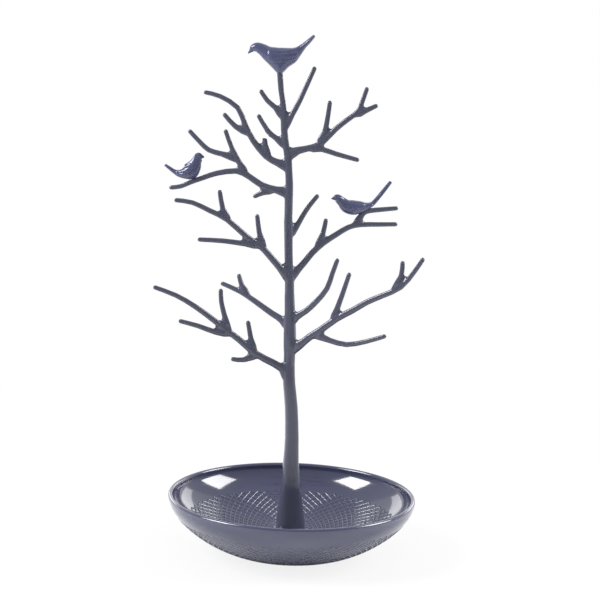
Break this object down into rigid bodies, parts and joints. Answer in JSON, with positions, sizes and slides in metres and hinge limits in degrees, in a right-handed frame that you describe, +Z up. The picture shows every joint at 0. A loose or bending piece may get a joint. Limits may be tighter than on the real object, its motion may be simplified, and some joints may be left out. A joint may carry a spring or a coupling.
{
  "type": "jewelry tree stand",
  "caption": "Bare tree with perched birds, of push-together trunk sections, standing in the middle of a round open dish; branches hold earrings and chains.",
  "frame": {"origin": "centre of the dish's foot, on the surface the dish stands on", "axes": "+Z up along the trunk; +X to the right of the pictured front, -Y towards the viewer of that front"},
  "size_m": [0.1658, 0.155, 0.3219],
  "materials": {
    "navy_plastic": "high gloss"
  },
  "bodies": {
    "dish": {"dish": "navy_plastic"},
    "root_section": {"trunk_base": "navy_plastic"},
    "lower_section": {"lower_tier": "navy_plastic"},
    "upper_section": {"upper_tier": "navy_plastic", "bird_right": "navy_plastic"},
    "crown_section": {"crown": "navy_plastic", "bird_top": "navy_plastic", "bird_left": "navy_plastic"}
  },
  "joints": [
    {"name": "root_lifts_out", "type": "slide", "parent": "dish", "child": "root_section", "axis": [0, 0, 1], "range_m": [0, 0.008]},
    {"name": "lower_tier_pulls_off", "type": "slide", "parent": "root_section", "child": "lower_section", "axis": [0, 0, 1], "range_m": [0, 0.011]},
    {"name": "upper_tier_pulls_off", "type": "slide", "parent": "lower_section", "child": "upper_section", "axis": [0, 0, 1], "range_m": [0, 0.011]},
    {"name": "crown_pulls_off", "type": "slide", "parent": "upper_section", "child": "crown_section", "axis": [0, 0, 1], "range_m": [0, 0.011]}
  ]
}
